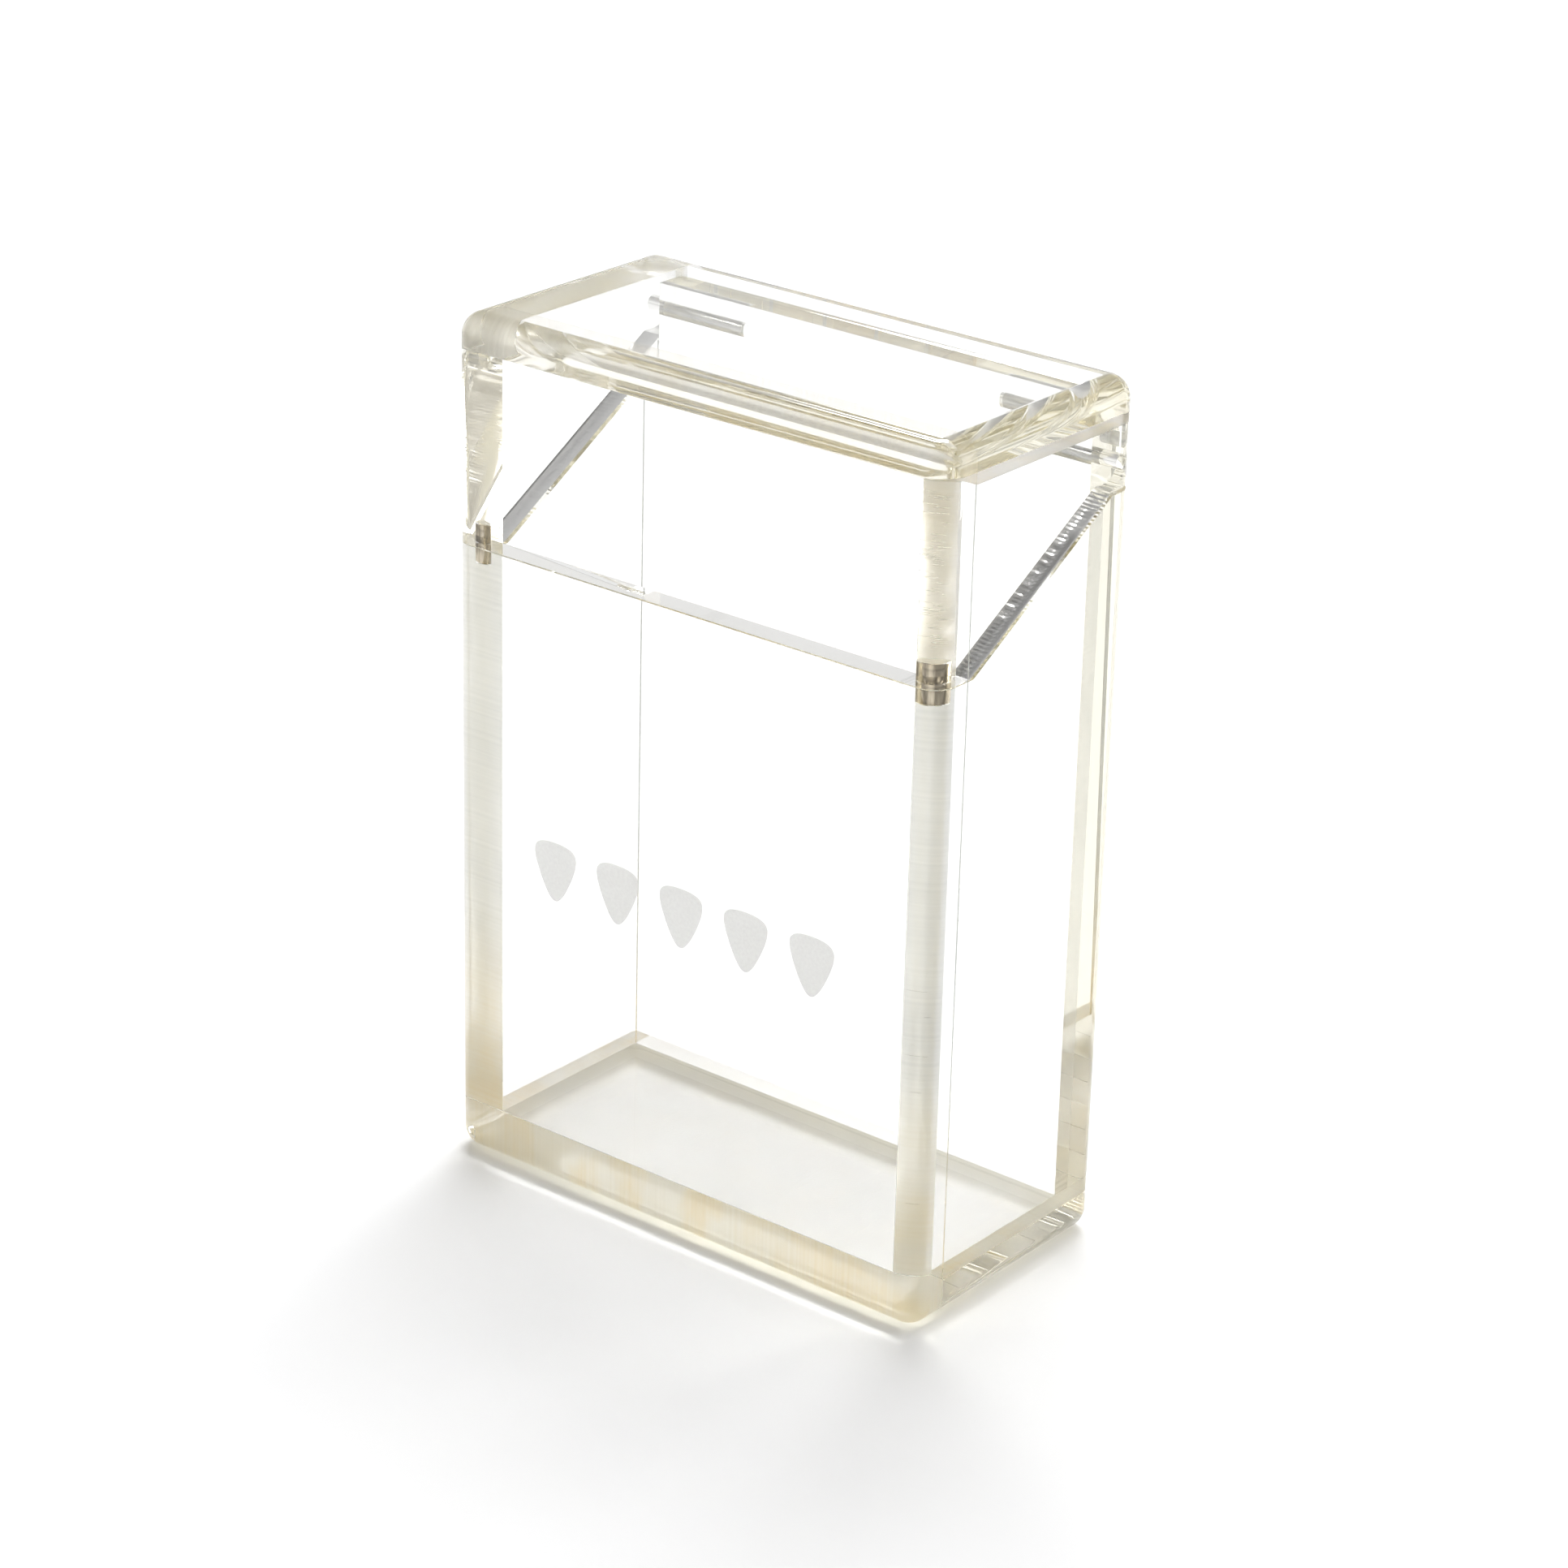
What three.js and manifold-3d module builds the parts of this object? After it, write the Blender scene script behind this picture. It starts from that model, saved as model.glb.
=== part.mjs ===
// Flip-top case for guitar picks: nine cemented clear acrylic panels, a lid that turns on two
// steel pins, and two pairs of small magnets that hold the lid shut.
// Millimetres, +Z up, front face towards -Y. Origin: centre of the base.

import * as THREE from 'three';
import { mergeVertices } from 'three/addons/utils/BufferGeometryUtils.js';
import { RoundedBoxGeometry } from 'three/addons/geometries/RoundedBoxGeometry.js';
import Module from 'manifold-3d';

const wasm = await Module();
wasm.setup();

// Outer size, sheet thickness and the rounding of the outer edges.
const WIDTH = 66.4;
const DEPTH = 33.2;
const HEIGHT = 100;
const SHEET = 5;
const EDGE_RADIUS = 2.7;
const EDGE_SEGMENTS = 4;

// The cut between lid and case: level across the front panel, sloping across the sides, level at the rear.
const FRONT_SEAM = 74;
const REAR_SEAM = 88;
const SLOPE_END_Y = 12.2;
const FRONT_GAP = 0.1;
const SAW_KERF = 0.4;

// Hinge: the case's back panel rises as a tongue between the lid's cheeks.
const KNUCKLE_RADIUS = 3;
const PIN_RADIUS = 0.8;
const PIN_LENGTH = 12;
const PIN_IN_LEFT_CHEEK = 0.6;
const PIN_IN_RIGHT_CHEEK = 2.4;
const PIN_SEGMENTS = 16;
const TONGUE_BORE_CLEARANCE = 0.02;
const CHEEK_BORE_CLEARANCE = 0.06;
const BORE_RUN_OUT = 0.3;
const TONGUE_HEADROOM = 0.8;
const TONGUE_SIDE_GAP = 0.2;
const TONGUE_EDGE_RADIUS = 1.5;
const ARC_SEGMENTS = 6;

// Magnets, upright in blind pockets in the front corners.
const MAGNET_RADIUS = 1;
const MAGNET_HEIGHT = 2.2;
const MAGNET_INSET = 3.1;
const MAGNET_SEGMENTS = 20;
const POCKET_CLEARANCE = 0.05;

// Planes and axes worked out from the driving dimensions.
const SIDE = WIDTH / 2;
const FRONT = -DEPTH / 2;
const BACK = DEPTH / 2;
const INNER_SIDE = SIDE - SHEET;
const INNER_FRONT = FRONT + SHEET;
const INNER_BACK = BACK - SHEET;
const FLOOR = SHEET;
const CEILING = HEIGHT - SHEET;
const PIN_Y = BACK - KNUCKLE_RADIUS;
const PIN_Z = REAR_SEAM + KNUCKLE_RADIUS;
const TONGUE_TOP = CEILING - TONGUE_HEADROOM;

// ---- solids ----------------------------------------------------------------------------------

function toSolid(geometry) {
  const bare = geometry.clone();
  bare.deleteAttribute('normal');
  bare.deleteAttribute('uv');
  const merged = mergeVertices(bare);
  return new wasm.Manifold(new wasm.Mesh({
    numProp: 3,
    vertProperties: new Float32Array(merged.attributes.position.array),
    triVerts: new Uint32Array(merged.index.array),
  }));
}

function toGeometry(solid) {
  const mesh = solid.getMesh();
  const geometry = new THREE.BufferGeometry();
  geometry.setAttribute('position', new THREE.BufferAttribute(mesh.vertProperties, 3));
  geometry.setIndex(new THREE.BufferAttribute(mesh.triVerts, 1));
  geometry.computeVertexNormals();
  return geometry;
}

function block(x0, x1, y0, y1, z0, z1) {
  const geometry = new THREE.BoxGeometry(x1 - x0, y1 - y0, z1 - z0);
  geometry.translate((x0 + x1) / 2, (y0 + y1) / 2, (z0 + z1) / 2);
  return toSolid(geometry);
}

// A side outline in (y, z), extruded from x0 to x1.
function sideSlab(outline, x0, x1) {
  const geometry = new THREE.ExtrudeGeometry(new THREE.Shape(outline), {
    depth: x1 - x0,
    bevelEnabled: false,
  });
  const outlineToCase = new THREE.Matrix4().makeBasis(
    new THREE.Vector3(0, 1, 0),
    new THREE.Vector3(0, 0, 1),
    new THREE.Vector3(1, 0, 0),
  );
  geometry.applyMatrix4(outlineToCase);
  geometry.translate(x0, 0, 0);
  return toSolid(geometry);
}

function arc(centreY, centreZ, radius, fromAngle, toAngle) {
  const points = [];
  for (let i = 0; i <= ARC_SEGMENTS; i += 1) {
    const angle = fromAngle + (toAngle - fromAngle) * i / ARC_SEGMENTS;
    points.push(new THREE.Vector2(
      centreY + radius * Math.cos(angle),
      centreZ + radius * Math.sin(angle),
    ));
  }
  return points;
}

// Where a hinge pin ends inside the lid's cheek. The two pins are pressed in to different depths.
function pinOuterEnd(side) {
  return INNER_SIDE + (side > 0 ? PIN_IN_RIGHT_CHEEK : PIN_IN_LEFT_CHEEK);
}

// A round bar or bore along X, on the hinge axis.
function hingeBar(radius, x0, x1) {
  const geometry = new THREE.CylinderGeometry(radius, radius, x1 - x0, PIN_SEGMENTS);
  geometry.rotateZ(Math.PI / 2);
  geometry.translate((x0 + x1) / 2, PIN_Y, PIN_Z);
  return geometry;
}

// An upright round bar or pocket in the front corner on the given side.
function cornerBar(side, radius, z0, z1) {
  const geometry = new THREE.CylinderGeometry(radius, radius, z1 - z0, MAGNET_SEGMENTS);
  geometry.rotateX(Math.PI / 2);
  geometry.translate(side * (SIDE - MAGNET_INSET), FRONT + MAGNET_INSET, (z0 + z1) / 2);
  return geometry;
}

const roundedCase = new RoundedBoxGeometry(WIDTH, DEPTH, HEIGHT, EDGE_SEGMENTS, EDGE_RADIUS);
roundedCase.translate(0, 0, HEIGHT / 2);
const envelope = toSolid(roundedCase);

// ---- the seam --------------------------------------------------------------------------------

// The lid's sloping edge runs from the back of the front panel to the rear level stretch.
// The case's edge is parallel to it, one saw kerf lower.
const slope = (REAR_SEAM - FRONT_SEAM) / (SLOPE_END_Y - INNER_FRONT);
const kerfDrop = SAW_KERF * Math.hypot(1, slope);
const caseSlopeStartY = INNER_FRONT + kerfDrop / slope;
const caseRearTop = REAR_SEAM - SAW_KERF;
const caseSlopeEndY = caseSlopeStartY + (caseRearTop - FRONT_SEAM) / slope;
const lidFrontEdge = FRONT_SEAM + FRONT_GAP;
const lidSlopeStartY = INNER_FRONT + FRONT_GAP / slope;

// ---- case panels -----------------------------------------------------------------------------

function caseFrontPanel() {
  let panel = block(-SIDE, SIDE, FRONT, INNER_FRONT, 0, FRONT_SEAM).intersect(envelope);
  for (const side of [-1, 1]) {
    panel = panel.subtract(toSolid(cornerBar(
      side,
      MAGNET_RADIUS + POCKET_CLEARANCE,
      FRONT_SEAM - MAGNET_HEIGHT - POCKET_CLEARANCE,
      FRONT_SEAM + 1,
    )));
  }
  return panel;
}

function caseBottomPanel() {
  return block(-SIDE, SIDE, INNER_FRONT, BACK, 0, FLOOR).intersect(envelope);
}

function caseSidePanel(side) {
  const outline = [
    new THREE.Vector2(INNER_FRONT, FLOOR),
    new THREE.Vector2(BACK, FLOOR),
    new THREE.Vector2(BACK, caseRearTop),
    new THREE.Vector2(caseSlopeEndY, caseRearTop),
    new THREE.Vector2(caseSlopeStartY, FRONT_SEAM),
    new THREE.Vector2(INNER_FRONT, FRONT_SEAM),
  ];
  const near = side > 0 ? INNER_SIDE : -SIDE;
  return sideSlab(outline, near, near + SHEET).intersect(envelope);
}

function caseBackPanel() {
  const rearEdge = arc(
    BACK - TONGUE_EDGE_RADIUS,
    TONGUE_TOP - TONGUE_EDGE_RADIUS,
    TONGUE_EDGE_RADIUS,
    0,
    Math.PI / 2,
  );
  const tongueSide = INNER_SIDE - TONGUE_SIDE_GAP;
  const tongueOutline = [
    new THREE.Vector2(INNER_BACK, caseRearTop - 1),
    new THREE.Vector2(BACK, caseRearTop - 1),
    ...rearEdge,
    new THREE.Vector2(INNER_BACK, TONGUE_TOP),
  ];
  const tongue = sideSlab(tongueOutline, -tongueSide, tongueSide);
  let panel = block(-INNER_SIDE, INNER_SIDE, INNER_BACK, BACK, FLOOR, caseRearTop).add(tongue);
  for (const side of [-1, 1]) {
    const mouth = side * (tongueSide + 1);
    const end = side * (pinOuterEnd(side) - PIN_LENGTH - BORE_RUN_OUT);
    const bore = hingeBar(
      PIN_RADIUS + TONGUE_BORE_CLEARANCE,
      Math.min(mouth, end),
      Math.max(mouth, end),
    );
    panel = panel.subtract(toSolid(bore));
  }
  return panel;
}

// ---- lid panels ------------------------------------------------------------------------------

function lidFrontPanel() {
  let panel = block(-SIDE, SIDE, FRONT, INNER_FRONT, lidFrontEdge, HEIGHT).intersect(envelope);
  for (const side of [-1, 1]) {
    panel = panel.subtract(toSolid(cornerBar(
      side,
      MAGNET_RADIUS + POCKET_CLEARANCE,
      lidFrontEdge - 1,
      lidFrontEdge + MAGNET_HEIGHT + POCKET_CLEARANCE,
    )));
  }
  return panel;
}

function lidTopPanel() {
  return block(-SIDE, SIDE, INNER_FRONT, BACK, CEILING, HEIGHT).intersect(envelope);
}

function lidCheek(side) {
  const outline = [
    new THREE.Vector2(INNER_FRONT, lidFrontEdge),
    new THREE.Vector2(lidSlopeStartY, lidFrontEdge),
    new THREE.Vector2(SLOPE_END_Y, REAR_SEAM),
    ...arc(PIN_Y, PIN_Z, KNUCKLE_RADIUS, -Math.PI / 2, 0),
    new THREE.Vector2(BACK, CEILING),
    new THREE.Vector2(INNER_FRONT, CEILING),
  ];
  const near = side > 0 ? INNER_SIDE : -SIDE;
  const bore = hingeBar(PIN_RADIUS + CHEEK_BORE_CLEARANCE, near - 1, near + SHEET + 1);
  return sideSlab(outline, near, near + SHEET).intersect(envelope).subtract(toSolid(bore));
}

// ---- metal pieces ----------------------------------------------------------------------------

function hingePin(side) {
  const outer = side * pinOuterEnd(side);
  const inner = side * (pinOuterEnd(side) - PIN_LENGTH);
  return hingeBar(PIN_RADIUS, Math.min(outer, inner), Math.max(outer, inner));
}

function caseMagnet(side) {
  return cornerBar(side, MAGNET_RADIUS, FRONT_SEAM - MAGNET_HEIGHT, FRONT_SEAM);
}

function lidMagnet(side) {
  return cornerBar(side, MAGNET_RADIUS, lidFrontEdge, lidFrontEdge + MAGNET_HEIGHT);
}

// ---- assembly --------------------------------------------------------------------------------

const ACRYLIC = { color: 0xf4f2ea, roughness: 0.04, metalness: 0, transparent: true, opacity: 0.35 };
const STEEL = { color: 0xa8a8a4, roughness: 0.25, metalness: 1 };
const NICKEL = { color: 0xb9b2a4, roughness: 0.18, metalness: 1 };

const holder = new THREE.Group();

function addPiece(name, geometry, finish) {
  const mesh = new THREE.Mesh(geometry, new THREE.MeshStandardMaterial(finish));
  mesh.name = name;
  holder.add(mesh);
}

addPiece('case_front_panel', toGeometry(caseFrontPanel()), ACRYLIC);
addPiece('case_bottom_panel', toGeometry(caseBottomPanel()), ACRYLIC);
addPiece('case_back_panel', toGeometry(caseBackPanel()), ACRYLIC);
addPiece('lid_front_panel', toGeometry(lidFrontPanel()), ACRYLIC);
addPiece('lid_top_panel', toGeometry(lidTopPanel()), ACRYLIC);

for (const [side, word] of [[-1, 'left'], [1, 'right']]) {
  addPiece(`case_${word}_panel`, toGeometry(caseSidePanel(side)), ACRYLIC);
  addPiece(`lid_${word}_cheek`, toGeometry(lidCheek(side)), ACRYLIC);
  addPiece(`${word}_hinge_pin`, hingePin(side), STEEL);
  addPiece(`case_${word}_magnet`, caseMagnet(side), NICKEL);
  addPiece(`lid_${word}_magnet`, lidMagnet(side), NICKEL);
}

export default holder;
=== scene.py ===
"""Clear acrylic flip-top holder for guitar picks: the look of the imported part.

The cemented panels of each half read as one piece of acrylic, so each half is one closed shell with
its bores and magnet pockets cut in. The cement in the joints, the air trapped in it, the frosted
mark, the pins and the magnets are separate pieces. Shapes are made in millimetres and scaled to
metres when they are finished.
"""

import math
import random

import bmesh
import bpy
from mathutils import Matrix, Vector

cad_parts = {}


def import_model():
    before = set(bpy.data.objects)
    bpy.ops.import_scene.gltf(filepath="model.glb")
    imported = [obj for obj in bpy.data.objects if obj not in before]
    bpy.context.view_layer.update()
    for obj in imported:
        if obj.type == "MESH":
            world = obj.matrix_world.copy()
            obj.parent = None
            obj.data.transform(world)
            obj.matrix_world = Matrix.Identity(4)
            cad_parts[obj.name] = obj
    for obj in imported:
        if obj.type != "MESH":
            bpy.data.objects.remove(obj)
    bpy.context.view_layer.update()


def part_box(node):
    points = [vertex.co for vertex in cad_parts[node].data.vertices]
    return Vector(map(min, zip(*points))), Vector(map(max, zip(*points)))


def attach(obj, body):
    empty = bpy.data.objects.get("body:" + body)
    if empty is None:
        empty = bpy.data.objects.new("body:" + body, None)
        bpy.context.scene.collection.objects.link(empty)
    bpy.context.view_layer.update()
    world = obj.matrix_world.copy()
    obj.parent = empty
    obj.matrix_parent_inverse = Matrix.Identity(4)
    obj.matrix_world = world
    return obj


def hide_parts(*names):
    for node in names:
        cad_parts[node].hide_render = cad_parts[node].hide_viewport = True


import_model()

MM = 0.001


def node_box(name):
    """Lowest and highest corner of a CAD node, in millimetres."""
    lo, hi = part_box(name)
    return Vector(lo) / MM, Vector(hi) / MM


# ---- sizes read from the frame, in millimetres --------------------------------------------------

FRONT_LO, FRONT_HI = node_box("case_front_panel")
LID_FRONT_LO, _ = node_box("lid_front_panel")
_, BASE_HI = node_box("case_bottom_panel")
TONGUE_LO, TONGUE_HI = node_box("case_back_panel")
TOP_LO, TOP_HI = node_box("lid_top_panel")
SIDE_LO, SIDE_HI = node_box("case_right_panel")
PIN_LO, PIN_HI = node_box("right_hinge_pin")
_, LEFT_PIN_HI = node_box("left_hinge_pin")
MAGNET_LO, MAGNET_HI = node_box("case_right_magnet")

HALF_WIDTH = FRONT_HI.x
FRONT = FRONT_LO.y
INNER_FRONT = FRONT_HI.y
BACK = TONGUE_HI.y
INNER_BACK = TONGUE_LO.y
INNER_SIDE = SIDE_LO.x
FLOOR_TOP = BASE_HI.z
CEILING = TOP_LO.z
HEIGHT = TOP_HI.z
SEAM = FRONT_HI.z
LID_EDGE = LID_FRONT_LO.z
CASE_REAR_TOP = SIDE_HI.z
TONGUE_TOP = TONGUE_HI.z
PIN_Y = (PIN_LO.y + PIN_HI.y) / 2
PIN_Z = (PIN_LO.z + PIN_HI.z) / 2
PIN_RADIUS = (PIN_HI.z - PIN_LO.z) / 2
PIN_INNER_END = {-1: -LEFT_PIN_HI.x, 1: PIN_LO.x}
MAGNET_X = (MAGNET_LO.x + MAGNET_HI.x) / 2
MAGNET_Y = (MAGNET_LO.y + MAGNET_HI.y) / 2
MAGNET_RADIUS = (MAGNET_HI.x - MAGNET_LO.x) / 2

# Sizes that no box of the frame gives, in millimetres.
EDGE_RADIUS = 2.7
EDGE_STEPS = 16
SLOPE_END_Y = 12.2
KNUCKLE = BACK - PIN_Y
LID_REAR_EDGE = PIN_Z - KNUCKLE
TONGUE_SIDE_GAP = 0.2
TONGUE_ROUND = 1.5
CHEEK_BORE = PIN_RADIUS + 0.06
TONGUE_BORE = PIN_RADIUS + 0.02
POCKET_CLEARANCE = 0.05
WETTED = 0.01
BORE_RUN_OUT = 0.3
OVERCUT = 5.0

# The saw cut: the spacing of its ridges, and where across the wall (0 inside, 1 outside) it has a
# row of points.
SAW_PITCH = 0.27
CUT_STATIONS = (0.0, 0.1, 0.2, 0.3, 0.4, 0.5, 0.65, 0.8, 0.9, 0.96, 1.0)
RIDGE = 0.012
FAINT_RIDGE = 0.001
REAR_RIDGE = 0.016
RIDGED_SHARE = 0.55
REAR_FROM, REAR_BLEND = 0.70, 0.12
LID_CROWN, LID_CROWN_SHARE = 0.10, 0.5
LID_LIP, LID_LIP_FROM = 0.03, 0.9
CASE_EDGE_WEAR = 0.05

# How a face was made, kept on the mesh for the acrylic's roughness.
POLISHED, SAWN, DRILLED = 0.0, 0.5, 1.0


# ---- plain solids, in millimetres ---------------------------------------------------------------


def solid(verts, faces):
    mesh = bpy.data.meshes.new("solid")
    mesh.from_pydata([tuple(v) for v in verts], [], faces)
    bm = bmesh.new()
    bm.from_mesh(mesh)
    bmesh.ops.recalc_face_normals(bm, faces=bm.faces)
    bm.to_mesh(mesh)
    bm.free()
    return mesh


def block(lo, hi):
    xs, ys, zs = zip(lo, hi)
    verts = [(x, y, z) for x in xs for y in ys for z in zs]
    faces = [(0, 1, 3, 2), (4, 6, 7, 5), (0, 4, 5, 1), (2, 3, 7, 6), (0, 2, 6, 4), (1, 5, 7, 3)]
    return solid(verts, faces)


def prism(outline, x0, x1):
    """A side outline in (y, z) carried from x0 to x1."""
    n = len(outline)
    verts = [(x0, y, z) for y, z in outline] + [(x1, y, z) for y, z in outline]
    faces = [tuple(range(n)), tuple(range(2 * n - 1, n - 1, -1))]
    faces += [(i, (i + 1) % n, n + (i + 1) % n, n + i) for i in range(n)]
    return solid(verts, faces)


def bar(start, end, radius, steps=48):
    """A round bar between two points."""
    axis = (end - start).normalized()
    side = axis.orthogonal().normalized()
    other = axis.cross(side)
    ring = [
        side * math.cos(a) * radius + other * math.sin(a) * radius
        for a in (2 * math.pi * i / steps for i in range(steps))
    ]
    verts = [start + r for r in ring] + [end + r for r in ring]
    faces = [tuple(range(steps)), tuple(range(2 * steps - 1, steps - 1, -1))]
    faces += [(i, (i + 1) % steps, steps + (i + 1) % steps, steps + i) for i in range(steps)]
    return solid(verts, faces)


def envelope():
    """The outside of the closed holder, every edge rounded."""
    mesh = block((-HALF_WIDTH, FRONT, 0.0), (HALF_WIDTH, BACK, HEIGHT))
    bm = bmesh.new()
    bm.from_mesh(mesh)
    bmesh.ops.bevel(
        bm,
        geom=list(bm.edges),
        offset=EDGE_RADIUS,
        segments=EDGE_STEPS,
        profile=0.5,
        affect="EDGES",
    )
    for v in bm.verts:
        core = core_point(v.co)
        v.co = core + (v.co - core).normalized() * EDGE_RADIUS
    bm.to_mesh(mesh)
    bm.free()
    return mesh


def core_point(p):
    """The nearest point of the box that the rounding rolls round."""
    r = EDGE_RADIUS
    return Vector(
        (
            min(max(p.x, -HALF_WIDTH + r), HALF_WIDTH - r),
            min(max(p.y, FRONT + r), BACK - r),
            min(max(p.z, r), HEIGHT - r),
        )
    )


def carve(mesh, steps):
    """Joins and cuts, one after another: steps are (operation, mesh)."""
    body = bpy.data.objects.new("body", mesh)
    bpy.context.collection.objects.link(body)
    tools = []
    for operation, tool_mesh in steps:
        tool = bpy.data.objects.new("tool", tool_mesh)
        bpy.context.collection.objects.link(tool)
        modifier = body.modifiers.new("cut", "BOOLEAN")
        modifier.operation = operation
        modifier.solver = "EXACT"
        modifier.object = tool
        tools.append(tool)
    depsgraph = bpy.context.evaluated_depsgraph_get()
    result = bpy.data.meshes.new_from_object(body.evaluated_get(depsgraph))
    for o in [body, *tools]:
        data = o.data
        bpy.data.objects.remove(o)
        bpy.data.meshes.remove(data)
    return result


def arc(y, z, radius, start, end, steps=12):
    return [
        (y + radius * math.cos(a), z + radius * math.sin(a))
        for a in (start + (end - start) * i / steps for i in range(steps + 1))
    ]


def lofted(outline_at, stations):
    """Side outlines in (y, z), one at each station along x, joined into one solid."""
    rows = [[(x, y, z) for y, z in outline_at(x)] for x in stations]
    n = len(rows[0])
    last = len(rows) - 1
    verts = [v for row in rows for v in row]
    faces = [tuple(range(n)), tuple(last * n + i for i in reversed(range(n)))]
    for k in range(last):
        for i in range(n):
            j = (i + 1) % n
            a, b, c, d = k * n + i, k * n + j, (k + 1) * n + j, (k + 1) * n + i
            faces += [(a, b, c), (a, c, d)]
    return solid(verts, faces)


def cut_stations():
    """Stations along x: close together across the two side walls, where the cut can be seen."""
    wall = HALF_WIDTH - INNER_SIDE
    right = [INNER_SIDE + wall * u for u in CUT_STATIONS]
    far = HALF_WIDTH + OVERCUT
    return [-far, *(-x for x in reversed(right)), *right, far]


class SawCut:
    """A sloping cut with a crown across the wall and the ridges that the saw leaves."""

    def __init__(self, start, end, crown, ridges, seed):
        rng = random.Random(seed)
        self.start, self.crown, self.ridges = start, crown, ridges
        self.length = math.dist(start, end)
        self.along = ((end[0] - start[0]) / self.length, (end[1] - start[1]) / self.length)
        count = int(self.length / SAW_PITCH)
        self.marks = [(0.0, 0.0)]
        for i in range(1, count):
            at = (i + rng.uniform(-0.2, 0.2)) / count
            up_or_down = 1 if i % 2 else -1
            self.marks.append((at, rng.uniform(0.35, 1.0) * up_or_down))
        self.marks.append((1.0, 0.0))

    def points(self, x):
        """The cut's outline in (y, z) at one station."""
        across = min(max((abs(x) - INNER_SIDE) / (HALF_WIDTH - INNER_SIDE), 0.0), 1.0)
        (y0, z0), (dy, dz) = self.start, self.along
        found = []
        for at, height in self.marks:
            off = self.crown(across) + height * self.ridges(across, at)
            t = at * self.length
            found.append((y0 + dy * t - dz * off, z0 + dz * t + dy * off))
        return found


# ---- the two shells -----------------------------------------------------------------------------

SLOPE = (LID_REAR_EDGE - SEAM) / (SLOPE_END_Y - INNER_FRONT)
KERF_DROP = (LID_REAR_EDGE - CASE_REAR_TOP) * math.hypot(1, SLOPE)
CASE_SLOPE = (
    (INNER_FRONT + KERF_DROP / SLOPE, SEAM),
    (INNER_FRONT + KERF_DROP / SLOPE + (CASE_REAR_TOP - SEAM) / SLOPE, CASE_REAR_TOP),
)
LID_SLOPE = ((INNER_FRONT + (LID_EDGE - SEAM) / SLOPE, LID_EDGE), (SLOPE_END_Y, LID_REAR_EDGE))


def lid_crown(across):
    """Raised towards the inside of the wall, with a small lip at its outer edge."""
    crown = LID_CROWN * max(0.0, 1 - across / LID_CROWN_SHARE) ** 1.5
    return crown + LID_LIP * max(0.0, (across - LID_LIP_FROM) / (1 - LID_LIP_FROM))


def lid_ridges(across, at):
    """Deep over the inner half of the wall, and at the rear right across it."""
    rear = min(max((at - REAR_FROM) / REAR_BLEND, 0.0), 1.0)
    return max(RIDGE if across < RIDGED_SHARE else FAINT_RIDGE, REAR_RIDGE * rear)


def case_crown(across):
    """Worn down a little at both edges of the wall."""
    return -CASE_EDGE_WEAR * (2 * across - 1) ** 2


def case_ridges(across, at):
    """The same everywhere."""
    return RIDGE


def case_mesh():
    """The case: the outside below the cut, hollow, with the tongue, its bores and the pockets."""
    far = BACK + OVERCUT
    cut = SawCut(*CASE_SLOPE, case_crown, case_ridges, 11)

    def below(x):
        return [
            (-far, -OVERCUT),
            (far, -OVERCUT),
            (far, CASE_REAR_TOP),
            *reversed(cut.points(x)),
            (-far, SEAM),
        ]

    tongue = [
        (INNER_BACK, CASE_REAR_TOP - 1),
        (BACK, CASE_REAR_TOP - 1),
        *arc(BACK - TONGUE_ROUND, TONGUE_TOP - TONGUE_ROUND, TONGUE_ROUND, 0, math.pi / 2),
        (INNER_BACK, TONGUE_TOP),
    ]
    tongue_side = INNER_SIDE - TONGUE_SIDE_GAP
    steps = [
        ("INTERSECT", lofted(below, cut_stations())),
        (
            "DIFFERENCE",
            block((-INNER_SIDE, INNER_FRONT, FLOOR_TOP), (INNER_SIDE, INNER_BACK, HEIGHT)),
        ),
        ("UNION", prism(tongue, -tongue_side, tongue_side)),
    ]
    for side in (-1, 1):
        steps.append(
            (
                "DIFFERENCE",
                bar(
                    Vector((side * (PIN_INNER_END[side] - BORE_RUN_OUT), PIN_Y, PIN_Z)),
                    Vector((side * (tongue_side + 1), PIN_Y, PIN_Z)),
                    TONGUE_BORE,
                ),
            )
        )
        steps.append(
            (
                "DIFFERENCE",
                bar(
                    Vector((side * MAGNET_X, MAGNET_Y, MAGNET_LO.z - POCKET_CLEARANCE)),
                    Vector((side * MAGNET_X, MAGNET_Y, SEAM + 1)),
                    MAGNET_RADIUS + POCKET_CLEARANCE,
                ),
            )
        )
    return carve(envelope(), steps)


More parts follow.
